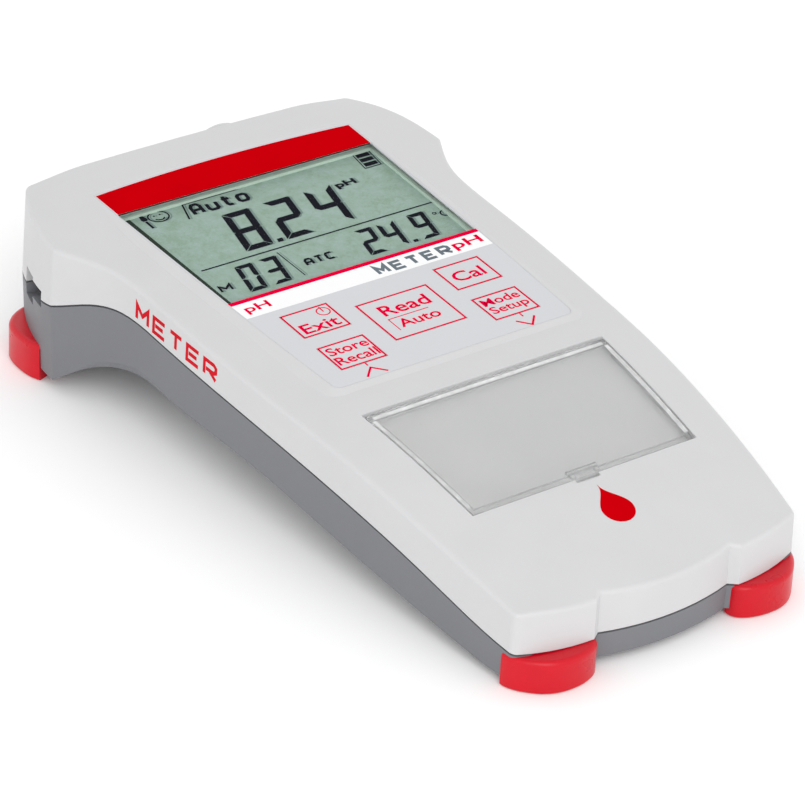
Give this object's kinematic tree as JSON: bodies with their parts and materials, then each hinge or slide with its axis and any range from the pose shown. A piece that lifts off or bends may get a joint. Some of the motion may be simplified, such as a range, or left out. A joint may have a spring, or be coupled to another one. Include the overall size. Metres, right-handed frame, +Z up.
{
  "type": "ph meter",
  "caption": "Hand-held pH meter with a display, flat keys, a clear note cover, coaxial and phono sockets, rubber bumpers and a battery bay underneath.",
  "frame": {"origin": "middle of the object's box in plan, on the surface it stands on", "axes": "+X to the right of the display text, +Y from the nose to the socket end, +Z up"},
  "size_m": [0.0906, 0.1612, 0.0338],
  "materials": {
    "shell_white": "satin moulded",
    "base_grey": "satin moulded",
    "gasket_black": "matte",
    "bumper_red": "soft matte",
    "label_film": "printed film",
    "key_film": "printed film",
    "clear_window": "clear, polished",
    "clear_cover": "clear, polished",
    "bezel_green": "dark",
    "lcd_glass": "grey-green reflective display",
    "elastomer": "matte",
    "spring_steel": "bright",
    "board_green": "solder mask",
    "chip_black": "moulded",
    "tinned_steel": "tinned",
    "screw_steel": "zinc plated",
    "nickel": "nickel plated",
    "gold_contact": "gold plated",
    "insulator_white": "smooth",
    "insulator_black": "smooth",
    "cell_wrap": "wrapped",
    "card_white": "paper"
  },
  "bodies": {
    "housing": {"top_shell": "shell_white", "bottom_shell": "base_grey", "case_gasket": "gasket_black", "foot_front_right": "bumper_red", "foot_front_left": "bumper_red", "foot_rear_right": "bumper_red", "foot_rear_left": "bumper_red", "keypad_overlay": "label_film", "display_window": "clear_window", "lcd_frame": "bezel_green", "lcd_panel": "lcd_glass", "lcd_connectors": "elastomer", "snap_domes": "spring_steel", "main_pcb": "board_green", "pcb_components": "chip_black", "shield_can": "tinned_steel", "pcb_screws": "screw_steel", "bnc_shell": "nickel", "bnc_insulator": "insulator_white", "bnc_contact": "gold_contact", "bnc_washer": "nickel", "bnc_nut": "nickel", "rca_shell": "nickel", "rca_insulator": "insulator_black", "rca_contact": "gold_contact", "rca_nut": "nickel", "battery_cell_1": "cell_wrap", "battery_cell_2": "cell_wrap", "battery_cell_3": "cell_wrap", "battery_cell_4": "cell_wrap", "battery_springs": "spring_steel", "battery_contacts": "nickel", "note_card": "card_white", "case_screws": "screw_steel"},
    "key_exit": {"key_exit": "key_film"},
    "key_store": {"key_store": "key_film"},
    "key_read": {"key_read": "key_film"},
    "key_cal": {"key_cal": "key_film"},
    "key_mode": {"key_mode": "key_film"},
    "note_cover": {"note_cover": "clear_cover"},
    "battery_door": {"battery_door": "base_grey"}
  },
  "joints": [
    {"name": "key_exit_press", "type": "slide", "parent": "housing", "child": "key_exit", "axis": [0, 0.0703, -0.9975], "range_m": [0, 0.0003], "stiffness_N_per_m": 2500},
    {"name": "key_store_press", "type": "slide", "parent": "housing", "child": "key_store", "axis": [0, 0.0703, -0.9975], "range_m": [0, 0.0003], "stiffness_N_per_m": 2500},
    {"name": "key_read_press", "type": "slide", "parent": "housing", "child": "key_read", "axis": [0, 0.0703, -0.9975], "range_m": [0, 0.0003], "stiffness_N_per_m": 2500},
    {"name": "key_cal_press", "type": "slide", "parent": "housing", "child": "key_cal", "axis": [0, 0.0703, -0.9975], "range_m": [0, 0.0003], "stiffness_N_per_m": 2500},
    {"name": "key_mode_press", "type": "slide", "parent": "housing", "child": "key_mode", "axis": [0, 0.0703, -0.9975], "range_m": [0, 0.0003], "stiffness_N_per_m": 2500},
    {"name": "note_cover_hinge", "type": "hinge", "parent": "housing", "child": "note_cover", "pos_m": [0, -0.025, 0.02565], "axis": [-1, 0, 0], "range_deg": [0, 95]},
    {"name": "battery_door_lift", "type": "slide", "parent": "housing", "child": "battery_door", "axis": [0, 0.1495, -0.9888], "range_m": [0, 0.06]}
  ]
}
